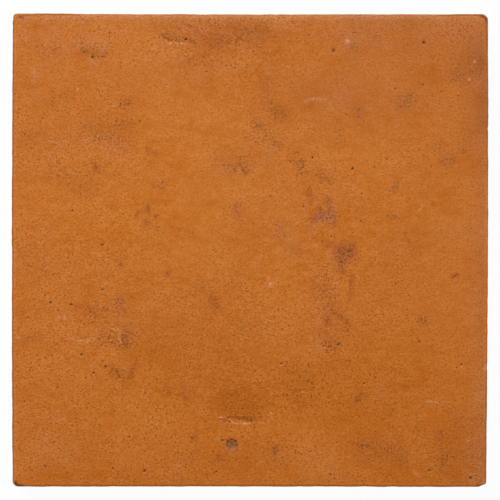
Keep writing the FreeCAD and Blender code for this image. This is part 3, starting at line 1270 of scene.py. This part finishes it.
@dataclass(frozen=True)
class WornEdge:
    """How the arris, the sides and the foot of the tile are worn, beyond what the solid has."""

    # Ragged arris, which fades out down the side
    rag: float = 0.15 * MM
    rag_lumps: Lumps = (Lump(6.0 * MM, 1.0), Lump(2.2 * MM, 2.0, 0.7), Lump(1.1 * MM, 2.5, 0.4))
    rag_fade: float = 1.5 * MM

    # Rough, creased sides, which stand out by no more than a share of their depth below the face
    side_start: float = 2.0 * MM
    side_relief: float = 0.45 * MM
    side_lumps: Lumps = (Lump(7.0 * MM, 3.0), Lump(2.4 * MM, 4.0, 0.6))
    side_sink: float = 0.4
    crease: float = 0.40 * MM
    crease_lumps: Lumps = (Lump(2.2 * MM, 14.0),)
    crease_stretch: Stretch = (0.12, 0.12, 1.0)
    crease_sink: float = 0.3
    side_swell: float = 0.04

    # Broken foot, and how much of that the top of its bevel shares
    foot_rag: float = 0.5 * MM
    foot_lumps: Lumps = (Lump(5.0 * MM, 15.0, 0.8), Lump(1.8 * MM, 16.0, 0.5))
    foot_broken: float = 0.4
    bevel_share: float = 0.3

    def wear(self, rings: np.ndarray, outward: np.ndarray, photo: PhotoScale) -> None:
        """Moves the points of the edge where it is ragged, chipped or rough.

        Args:
            rings: Points by row, from the face to the underside, and then around the border.
            outward: Direction in plan at each point of the border.
            photo: Where the tile lies in the photograph.
        """
        top = rings[0]
        ragged = self.rag * uneven(top, self.rag_lumps)
        for chip in CHIPS:
            away = photo.distance(top, chip.pixels) / (chip.reach_mm * MM)
            ragged -= chip.depth_mm * MM * np.exp(-(away**2))
        for ring in rings[:-1]:
            below = top[:, 2] - ring[:, 2]
            rough = uneven(ring, self.side_lumps) - self.side_sink
            creases = uneven(ring * np.array(self.crease_stretch), self.crease_lumps) - self.crease_sink
            relief = np.minimum(self.side_relief * rough + self.crease * creases, self.side_swell * below)
            moved = ragged * np.exp(-below / self.rag_fade) + smooth(below / self.side_start) * relief
            ring += outward * moved[:, None]
        broken = self.foot_rag * smooth(self.foot_broken + uneven(rings[-1], self.foot_lumps))
        rings[-1] -= outward * broken[:, None]
        rings[-2] -= outward * (self.bevel_share * broken)[:, None]
        rings[-2, :, 2] += broken


@dataclass(frozen=True)
class PressedFace:
    """Fine relief of the face, beyond what the solid has."""

    rim: float = 3.0 * MM
    press: float = 0.05 * MM
    press_lumps: Lumps = (Lump(9.0 * MM, 5.0), Lump(3.0 * MM, 6.0, 0.6))
    pit_mouth: float = 1.3
    tear_rag: float = 0.25 * MM
    tear_lumps: Lumps = (Lump(1.2 * MM, 7.0),)
    tear_end: float = 2.0 * MM
    tear_wall: float = 0.5 * MM
    lip_width: float = 0.7 * MM

    def rise(self, points: np.ndarray, gaps: np.ndarray, photo: PhotoScale) -> np.ndarray:
        """How far the feel of the hand, the tears and the small pits move the face, up or down.

        Args:
            points: Points on the solid's face.
            gaps: Distance of each from the nearest side.
            photo: Where the tile lies in the photograph.

        Returns:
            The rise at each point.
        """
        flat = points * IN_PLAN
        rise = self.press * uneven(flat, self.press_lumps)
        for tear in TEARS:
            rise += self.tear_rise(tear, flat, photo)
        for pit in PITS:
            away = photo.distance(points, pit.pixels) / (pit.radius_mm * MM)
            rise -= pit.depth_mm * MM * smooth(self.pit_mouth - away)
        return rise * smooth(gaps / self.rim)

    def tear_rise(self, tear: Tear, points: np.ndarray, photo: PhotoScale) -> np.ndarray:
        """How far a tear moves the face.

        Args:
            tear: The tear.
            points: Places on the face.
            photo: Where the tile lies in the photograph.

        Returns:
            The rise at each place, negative in the hollow.
        """
        lip = np.array([photo.place(*pixel) for pixel in tear.pixels])
        x, y = points[:, 0], points[:, 1]
        start, end = lip[0, 0], lip[-1, 0]
        ragged = self.tear_rag * uneven(points * ALONG_X, self.tear_lumps)
        above = y - np.interp(x, lip[:, 0], lip[:, 1]) - ragged
        ends = smooth((x - start) / self.tear_end) * smooth((end - x) / self.tear_end)
        faded = np.where(above > 0, np.exp(-above / (tear.hollow_mm * MM)), 0.0)
        hollow = faded * smooth(above / self.tear_wall)
        lifted = np.exp(-((above / self.lip_width) ** 2))
        return ends * MM * (tear.lip_mm * lifted - tear.depth_mm * hollow)


@dataclass(frozen=True)
class Toning:
    """How the tone layers are laid onto the points of the mesh."""

    # Stray of the outlines: size of its lumps, in parts of how far it strays, and a seed each way
    stray_lump: float = 2.5
    stray_seeds: tuple[float, float] = (11.0, 12.0)

    # Dirt and painted shade in a pit, and the painted highlight on its lit wall below it, in parts of its
    # radius
    dirt_and_shade_rim: float = 1.5
    dirt_and_shade_fall: float = 1.3
    pit_highlight_shift: float = 1.15
    pit_highlight_size: float = 0.6
    pit_highlight: float = 0.3

    # Painted highlight: a pale line just inside the edge, where the rounded arris turns to the light
    rim_highlight: float = 0.10
    rim_gap: float = 0.5 * MM
    rim_width: float = 0.4 * MM

    # Painted shade on the arris, a dark line whose strength is set side by side, and the raw clay below it
    arris_shade_left: float = 1.0
    arris_shade_right: float = 0.5
    arris_shade_bottom: float = 1.0
    arris_shade_top: float = 0.15
    arris_shade_share: float = 0.85
    arris_lumps: Lumps = (Lump(3.0 * MM, 13.0, 0.4),)
    arris_start: float = 0.05 * MM
    arris_depth: float = 0.9 * MM
    raw_depth: float = 1.5 * MM

    def strayed(self, points: np.ndarray, grade: Spread) -> np.ndarray:
        """Places that stray a little, so that marks laid by them have uneven outlines.

        Args:
            points: Places on the face.
            grade: How far they stray.

        Returns:
            The moved places, in plan.
        """
        flat = points * IN_PLAN
        far = grade.value * MM
        if not far:
            return flat
        across, up = (uneven(flat, (Lump(self.stray_lump * far, seed),)) for seed in self.stray_seeds)
        return flat + far * np.stack([across, up, np.zeros(len(flat))], axis=1)

    def lay_marks(self, layers: Layers, points: np.ndarray, photo: PhotoScale) -> None:
        """Lays the marks, the dirt and painted shade in the pits and the painted highlight below each.

        Args:
            layers: The tone layers, which start with the given points.
            points: Points of the face and the arris.
            photo: Where the tile lies in the photograph.
        """
        count = len(points)
        places = {grade: self.strayed(points, grade) for grade in Spread}
        for mark in MARKS:
            away = photo.distance(places[mark.spread], mark.pixels) / (mark.reach_mm * MM)
            layer = layers[mark.tone][:count]
            layer += (1.0 - layer) * mark.strength * np.exp(-(away**2))
        soot_and_shade = layers[Tone.SOOT_AND_SHADE][:count]
        chalk_and_highlight = layers[Tone.CHALK_AND_HIGHLIGHT][:count]
        for pit in PITS + (STONE_PIT,):
            radius = pit.radius_mm * MM
            away = photo.distance(points, pit.pixels) / radius
            # dirt and painted shade in the pit
            soot_and_shade[:] = np.maximum(soot_and_shade, pit.dirt * smooth(self.dirt_and_shade_rim - self.dirt_and_shade_fall * away))
            # painted highlight on the pit's lower wall, which faces the light
            lit = points + np.array((0.0, self.pit_highlight_shift * radius, 0.0))
            away = photo.distance(lit, pit.pixels) / (self.pit_highlight_size * radius)
            chalk_and_highlight += self.pit_highlight * pit.dirt * np.exp(-(away**2))

    def lay_rim_highlight(self, chalk_and_highlight: np.ndarray, gaps: np.ndarray) -> None:
        """Lays the painted highlight, a pale line just inside the edge where the arris rounds over, by the
        distance of each point of the face from it.
        """
        chalk_and_highlight += self.rim_highlight * np.exp(-(((gaps - self.rim_gap) / self.rim_width) ** 2))

    def lay_edge(self, layers: Layers, rings: np.ndarray, outward: np.ndarray, start: int) -> None:
        """Lays the painted shade on the arris, a dark line that is strongest on the bottom and left sides,
        and the raw clay of the sides and the underside.

        Args:
            layers: The tone layers.
            rings: Points of the edge by row, from the face to the underside.
            outward: Direction in plan at each point of the border.
            start: Number of the first point of the edge.
        """
        left_right = np.where(outward[:, 0] < 0, self.arris_shade_left, self.arris_shade_right)
        bottom_top = np.where(outward[:, 1] < 0, self.arris_shade_bottom, self.arris_shade_top)
        around = outward[:, 0] ** 2 * left_right + outward[:, 1] ** 2 * bottom_top
        around *= self.arris_shade_share + uneven(rings[0], self.arris_lumps)
        for ring in rings[1:-1]:
            here = slice(start, start + len(ring))
            below = rings[0][:, 2] - ring[:, 2]
            line = smooth(below / self.arris_start) * np.exp(-((below / self.arris_depth) ** 2))
            layers[Tone.ARRIS_SHADE][here] = np.maximum(layers[Tone.ARRIS_SHADE][here], around * line)
            layers[Tone.RAW][here] = smooth(below / self.raw_depth)
            start += len(ring)
        layers[Tone.RAW][start:] = 1.0


@dataclass
class FiredTile:
    """The tile as one closed mesh: a fine face, the worn arris, four sides and the underside."""

    solid: Solid
    low: Vector
    high: Vector
    photo: PhotoScale
    edge: WornEdge = WornEdge()
    relief: PressedFace = PressedFace()
    toning: Toning = Toning()
    finish: FiredClay = FiredClay()

    # Grid of the face: its cells, the narrow ones along the sides, and the split of those with small marks
    cell: float = 1.04 * MM
    rim_gaps: tuple[float, ...] = (0.3 * MM, 0.35 * MM, 0.45 * MM, 0.6 * MM, 0.75 * MM)
    refine: int = 4
    whole_rim: int = 2  # cells along each side that are never split
    small_reach: float = 0.85 * MM  # of the marks that split their cells
    tear_reach: float = 1.0 * MM
    fine_margin: float = 0.65  # of a cell

    # Rows of the edge, and how the solid is felt for them
    arris_radius: float = 0.6 * MM
    arris_angles: tuple[float, ...] = (90.0, 67.5, 45.0, 22.5, 0.0)
    side_rows: int = 17
    bed_bevel: float = 1.0 * MM
    core: float = 6.0 * MM
    below_arris: float = 2.4 * MM
    inside_arris: float = 1.8 * MM
    foot_level: float = 0.02 * MM

    # Underside, rough but flat along its rim
    bed_relief: float = 0.2 * MM
    bed_lumps: Lumps = (Lump(7.0 * MM, 8.0, 0.35), Lump(2.5 * MM, 9.0, 0.25))
    bed_level: float = 0.5
    bed_rim: float = 2.0 * MM
    bed_rim_fade: float = 1.0 * MM
    bed_step: int = 2  # cells of the face to one of the underside

    # Worked out while the mesh is built
    xs: np.ndarray = field(init=False)
    ys: np.ndarray = field(init=False)
    loop: list[tuple[int, int]] = field(init=False)
    outward: np.ndarray = field(init=False)
    rings: np.ndarray = field(init=False)
    faces: list[tuple[int, ...]] = field(init=False)
    face_points: np.ndarray = field(init=False)
    face_gaps: np.ndarray = field(init=False)
    bed_points: np.ndarray = field(init=False)

    def build(self) -> bpy.types.Object:
        """Draws the mesh over the solid.

        Returns:
            The new piece, with its tone layers.
        """
        self.faces = []
        self.lay_lines()
        self.feel_edges()
        border = self.lay_face()
        last_row = self.lay_sides(border)
        self.lay_bed(last_row)
        points = np.concatenate([self.face_points, *self.rings[1:-1], self.bed_points])
        mesh = bpy.data.meshes.new(PIECE)
        mesh.from_pydata(points.tolist(), [], self.faces)
        mesh.validate()
        mesh.polygons.foreach_set("use_smooth", [True] * len(mesh.polygons))
        piece = bpy.data.objects.new(PIECE, mesh)
        bpy.context.scene.collection.objects.link(piece)
        self.tone(mesh, points)
        return piece

    def dress(self, piece: bpy.types.Object) -> None:
        """Gives the piece its finish."""
        piece.data.materials.append(self.finish.material())

    def lay_lines(self) -> None:
        """Sets the lines of the face's grid, closer together near the sides, and the loop of its border."""
        self.xs = self.graded((self.high.x - self.low.x) / 2)
        self.ys = self.graded((self.high.y - self.low.y) / 2)
        last_x = len(self.xs) - 1
        last_y = len(self.ys) - 1
        self.loop = [(i, 0) for i in range(last_x)]
        self.loop += [(last_x, j) for j in range(last_y)]
        self.loop += [(i, last_y) for i in range(last_x, 0, -1)]
        self.loop += [(0, j) for j in range(last_y, 0, -1)]

    def graded(self, half: float) -> np.ndarray:
        """Lines of the grid along one axis.

        Args:
            half: How far they reach either way.

        Returns:
            The places of the lines, in order. Their number is odd.
        """
        rim = np.cumsum((0.0,) + self.rim_gaps)
        inner = half - rim[-1]
        middle = np.linspace(-inner, inner, 2 * round(inner / self.cell) + 1)
        return np.concatenate([rim[:-1] - half, middle, half - rim[-2::-1]])

    def feel_edges(self) -> None:
        """Feels the arris, the side and the underside's edge of the solid at each point of the border."""
        reach_x = self.xs[-1] - self.core
        reach_y = self.ys[-1] - self.core
        columns = []
        directions = []
        for i, j in self.loop:
            x, y = self.xs[i], self.ys[j]
            start = Vector((np.clip(x, -reach_x, reach_x), np.clip(y, -reach_y, reach_y), 0.0))
            outward = (Vector((x, y, 0.0)) - start).normalized()
            columns.append(self.feel_column(start, outward))
            directions.append(outward)
        self.rings = np.array(columns).transpose(1, 0, 2)
        self.outward = np.array(directions)
        self.edge.wear(self.rings, self.outward, self.photo)

    def feel_column(self, start: Vector, outward: Vector) -> list[Vector]:
        """Points down the edge of the solid, from its face to its underside.

        Args:
            start: Place in plan to feel outwards from.
            outward: Direction in plan.

        Returns:
            One point for each row of the mesh's edge.
        """
        radius = self.arris_radius
        side = self.solid.hit(start + UP * (self.high.z - self.below_arris), outward, self.core)
        inside = side - outward * self.inside_arris
        top = self.solid.height(inside.x, inside.y, 2 * self.high.z)
        side = self.solid.hit(start + UP * (top - radius), outward, self.core)
        centre = side - outward * radius
        points = []
        for angle in map(math.radians, self.arris_angles):
            points.append(self.solid.hit(centre, outward * math.cos(angle) + UP * math.sin(angle), radius))
        level = points[-1].z
        for row in range(1, self.side_rows + 1):
            height = level + (self.bed_bevel - level) * row / self.side_rows
            points.append(self.solid.hit(start + UP * height, outward, self.core))
        foot = self.solid.hit(start + UP * self.foot_level, outward, self.core)
        points.append(Vector((foot.x, foot.y, 0.0)))
        return points

    def patch(self, ring: np.ndarray, split: int) -> np.ndarray:
        """Fills a ring of border points with a grid that follows all four sides.

        Args:
            ring: Points around the border.
            split: How many parts each cell is split into, both ways.

        Returns:
            Points of the grid, by column and then by row.
        """
        last_x = len(self.xs) - 1
        last_y = len(self.ys) - 1
        closed = np.concatenate([ring, ring[:1]])
        bottom = self.along(closed[: last_x + 1], split)
        right = self.along(closed[last_x : last_x + last_y + 1], split)
        top = self.along(closed[last_x + last_y : 2 * last_x + last_y + 1][::-1], split)
        left = self.along(closed[2 * last_x + last_y :][::-1], split)
        u = self.along((self.xs - self.xs[0])[:, None] / (self.xs[-1] - self.xs[0]), split)[:, :, None]
        v = self.along((self.ys - self.ys[0])[:, None] / (self.ys[-1] - self.ys[0]), split)[None, :, :]
        level = (1 - v) * bottom[:, None] + v * top[:, None]
        upright = (1 - u) * left[None] + u * right[None]
        corners = (1 - u) * ((1 - v) * bottom[0] + v * top[0]) + u * ((1 - v) * bottom[-1] + v * top[-1])
        return level + upright - corners

    @staticmethod
    def along(points: np.ndarray, split: int) -> np.ndarray:
        """Points along a line, with each gap split into equal parts.

        Args:
            points: Points in order, one in each row.
            split: How many parts each gap has.

        Returns:
            The points with the new ones between them.
        """
        old = np.arange(len(points))
        new = np.linspace(0, len(points) - 1, (len(points) - 1) * split + 1)
        return np.stack([np.interp(new, old, points[:, axis]) for axis in range(points.shape[1])], axis=1)

    def lay_face(self) -> list[int]:
        """Makes the face: a grid that is split finer where it has small marks, pressed onto the solid.

        Returns:
            Numbers of the points around its border.
        """
        split = self.refine
        rim = self.whole_rim
        cells_x = len(self.xs) - 1
        cells_y = len(self.ys) - 1
        grid = self.patch(self.rings[0], split)
        middles = grid[split // 2 :: split, split // 2 :: split].reshape(-1, 3)
        fine = self.small_marks(middles).reshape(cells_x, cells_y)
        fine[:rim] = fine[-rim:] = False
        fine[:, :rim] = fine[:, -rim:] = False

        kept = np.zeros(grid.shape[:2], bool)
        kept[::split, ::split] = True
        for i, j in np.argwhere(fine) * split:
            kept[i : i + split + 1, j : j + split + 1] = True
        numbers = np.cumsum(kept.ravel()).reshape(kept.shape) - 1
        for i in range(cells_x):
            for j in range(cells_y):
                self.add_cell(numbers, kept, i * split, j * split, bool(fine[i, j]))
        points = grid[kept]
        points[:, 2] = [self.solid.height(x, y, 2 * self.high.z) for x, y in points[:, :2]]
        self.face_gaps = self.gap_to_side(grid)[kept]
        points[:, 2] += self.relief.rise(points, self.face_gaps, self.photo)
        self.face_points = points
        return [int(numbers[i * split, j * split]) for i, j in self.loop]

    def small_marks(self, middles: np.ndarray) -> np.ndarray:
        """Tells which cells of the face need a finer mesh.

        Args:
            middles: Middle of each cell.

        Returns:
            True for each cell that is near a small mark.
        """
        near = np.zeros(len(middles), bool)
        margin = self.fine_margin * self.cell
        for pit in PITS + (STONE_PIT,):
            near |= self.photo.distance(middles, pit.pixels) < pit.radius_mm * MM + margin
        for tear in TEARS:
            near |= self.photo.distance(middles, tear.pixels) < self.tear_reach + margin
        for mark in MARKS:
            if mark.reach_mm * MM < self.small_reach:
                near |= self.photo.distance(middles, mark.pixels) < mark.reach_mm * MM + margin
        return near

    def add_cell(self, numbers: np.ndarray, kept: np.ndarray, i: int, j: int, fine: bool) -> None:
        """Adds one cell of the face, split or whole.

        Args:
            numbers: Number of each point of the finest grid.
            kept: Which of those points are used.
            i: First column of the cell in the finest grid.
            j: First row of the cell there.
            fine: Whether this cell is split.
        """
        split = self.refine
        if fine:
            for a in range(i, i + split):
                for b in range(j, j + split):
                    quad = (numbers[a, b], numbers[a + 1, b], numbers[a + 1, b + 1], numbers[a, b + 1])
                    self.faces.append(tuple(int(number) for number in quad))
            return
        steps = range(split)
        round_trip = [(i + k, j) for k in steps] + [(i + split, j + k) for k in steps]
        round_trip += [(i + split - k, j + split) for k in steps] + [(i, j + split - k) for k in steps]
        self.faces.append(tuple(int(numbers[spot]) for spot in round_trip if kept[spot]))

    @staticmethod
    def gap_to_side(grid: np.ndarray) -> np.ndarray:
        """Distance of each point of a grid from the nearest side of the face.

        Args:
            grid: Points by column and then by row.

        Returns:
            The distance for each point.
        """
        x, y = grid[:, :, 0], grid[:, :, 1]
        return np.min([x - x[:1], x[-1:] - x, y - y[:, :1], y[:, -1:] - y], axis=0)

    def lay_sides(self, border: list[int]) -> list[int]:
        """Makes the arris, the sides and the bevel under them, as rows of cells around the border.

        Args:
            border: Numbers of the points around the face.

        Returns:
            Numbers of the points of the lowest row.
        """
        count = len(self.loop)
        first = len(self.face_points)
        upper = border
        for _ in self.rings[1:-1]:
            lower = list(range(first, first + count))
            for k in range(count):
                after = (k + 1) % count
                self.faces.append((upper[k], lower[k], lower[after], upper[after]))
            upper = lower
            first += count
        return upper

    def lay_bed(self, last_row: list[int]) -> None:
        """Makes the underside, as a grid with wider cells, and joins it to the bevel.

        Args:
            last_row: Numbers of the points above the bevel.
        """
        step = self.bed_step
        count = len(self.loop)
        first = last_row[-1] + 1
        grid = self.patch(self.rings[-1], 1)[::step, ::step]
        size_x, size_y = grid.shape[:2]
        points = grid.reshape(-1, 3)
        gaps = np.minimum(self.xs[-1] - abs(points[:, 0]), self.ys[-1] - abs(points[:, 1]))
        rough = np.clip(self.bed_level + uneven(points, self.bed_lumps), 0.0, 1.0)
        points[:, 2] = self.bed_relief * smooth((gaps - self.bed_rim) / self.bed_rim_fade) * rough
        self.bed_points = points

        for i in range(size_x - 1):
            for j in range(size_y - 1):
                corner = first + i * size_y + j
                self.faces.append((corner, corner + 1, corner + size_y + 1, corner + size_y))
        for k in range(0, count, step):
            upper = [last_row[(k + back) % count] for back in range(step, -1, -1)]
            ends = (self.loop[k], self.loop[(k + step) % count])
            foot = [first + (i // step) * size_y + j // step for i, j in ends]
            self.faces.append(tuple(upper + foot))

    def tone(self, mesh: bpy.types.Mesh, points: np.ndarray) -> None:
        """Writes the tone layers onto the mesh.

        Args:
            mesh: The tile's mesh.
            points: Its points.
        """
        face = len(self.face_points)
        with_arris = face + (len(self.arris_angles) - 1) * len(self.loop)
        layers = {tone: np.zeros(len(points)) for tone in Tone}
        self.toning.lay_marks(layers, points[:with_arris], self.photo)
        self.toning.lay_rim_highlight(layers[Tone.CHALK_AND_HIGHLIGHT][:face], self.face_gaps)
        self.toning.lay_edge(layers, self.rings, self.outward, face)
        for tone, values in layers.items():
            attribute = mesh.attributes.new(tone.value, "FLOAT", "POINT")
            attribute.data.foreach_set("value", values.astype(np.float32))


@dataclass
class Studio:
    """The plain white stage, the soft light and the camera straight above."""

    photo: PhotoScale
    face_height: float
    floor_size: float = 8.0
    floor_colour: Colour = (0.95, 0.95, 0.95, 1.0)
    white_share: float = 0.95
    sky: float = 0.5
    key_power: float = 12.0
    key_place: tuple[float, float, float] = (-0.35, 0.85, 1.05)
    key_size: float = 0.5
    lens_mm: float = 160.0
    sensor_mm: float = 36.0

    def build(self) -> None:
        """Adds the floor, the light and the camera."""
        self.lay_floor()
        self.light_sky()
        self.hang_key()
        self.place_camera()

    @staticmethod
    def seen(graph: Graph) -> Wire:
        """Tells what the camera sees, by itself, in a mirror or through glass, from what only lights.

        Args:
            graph: Node tree that asks.

        Returns:
            The wire with 1 for what is seen.
        """
        straight = graph.node("ShaderNodeLightPath", {}, {}, "Is Camera Ray")
        mirrored = graph.node("ShaderNodeLightPath", {}, {}, "Is Glossy Ray")
        through = graph.node("ShaderNodeLightPath", {}, {}, "Is Transmission Ray")
        return graph.maths("MAXIMUM", graph.maths("MAXIMUM", straight, mirrored), through)

    def lay_floor(self) -> None:
        """Adds a white floor that keeps a faint shadow of the tile."""
        half = self.floor_size / 2
        corners = [(-half, -half, 0.0), (half, -half, 0.0), (half, half, 0.0), (-half, half, 0.0)]
        mesh = bpy.data.meshes.new("floor")
        mesh.from_pydata(corners, [], [(0, 1, 2, 3)])
        floor = bpy.data.objects.new("floor", mesh)
        bpy.context.scene.collection.objects.link(floor)
        made = bpy.data.materials.new("white_floor")
        made.use_nodes = True
        graph = Graph(made.node_tree)
        matt = graph.node("ShaderNodeBsdfDiffuse", {}, {"Color": self.floor_colour})
        glow = graph.node("ShaderNodeEmission", {}, {"Color": WHITE, "Strength": 1.0})
        share = self.white_share * self.seen(graph)
        surface = graph.node("ShaderNodeMixShader", {}, {0: share, 1: matt, 2: glow})
        graph.output("ShaderNodeOutputMaterial", surface)
        mesh.materials.append(made)

    def light_sky(self) -> None:
        """Lights the tile softly from all round, with white behind it."""
        world = bpy.data.worlds.new("studio")
        world.use_nodes = True
        graph = Graph(world.node_tree)
        strength = self.sky + (1.0 - self.sky) * self.seen(graph)
        sky = graph.node("ShaderNodeBackground", {}, {"Color": WHITE, "Strength": strength})
        graph.output("ShaderNodeOutputWorld", sky)
        bpy.context.scene.world = world

    def hang_key(self) -> None:
        """Hangs one soft lamp beyond the top of the face, which brings out its relief."""
        lamp = bpy.data.lights.new("key", "AREA")
        lamp.size = self.key_size
        lamp.energy = self.key_power
        key = bpy.data.objects.new("key", lamp)
        key.location = self.key_place
        key.rotation_euler = (-Vector(self.key_place)).to_track_quat("-Z", "Y").to_euler()
        bpy.context.scene.collection.objects.link(key)

    def place_camera(self) -> None:
        """Sets the camera straight above, with the tile as large and as central as in the photograph."""
        camera = bpy.data.cameras.new("camera")
        camera.lens = self.lens_mm
        camera.sensor_width = self.sensor_mm
        view_width = self.photo.columns * self.photo.pixel
        distance = view_width * self.lens_mm / self.sensor_mm
        middle = self.photo.columns / 2 - self.photo.half_pixel
        x, y = self.photo.place(middle, middle)
        seat = bpy.data.objects.new("camera", camera)
        seat.location = (x, y, self.face_height + distance)
        bpy.context.scene.collection.objects.link(seat)
        bpy.context.scene.camera = seat


def main() -> None:
    """Builds the tile and its studio."""
    logging.basicConfig(level=logging.INFO, format="%(message)s")
    low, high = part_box(NODE)
    photo = PhotoScale(tile_width=high.x - low.x)
    slab = FiredTile(Solid(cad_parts[NODE]), low, high, photo)
    tile = slab.build()
    slab.dress(tile)
    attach(tile, BODY)
    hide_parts(NODE)
    log.info("%s: %d faces", tile.name, len(tile.data.polygons))
    Studio(photo, high.z).build()
    bpy.context.scene.view_settings.view_transform = "Standard"
    log.info("studio: floor, sky, key and camera")


if __name__ == "__main__":
    main()
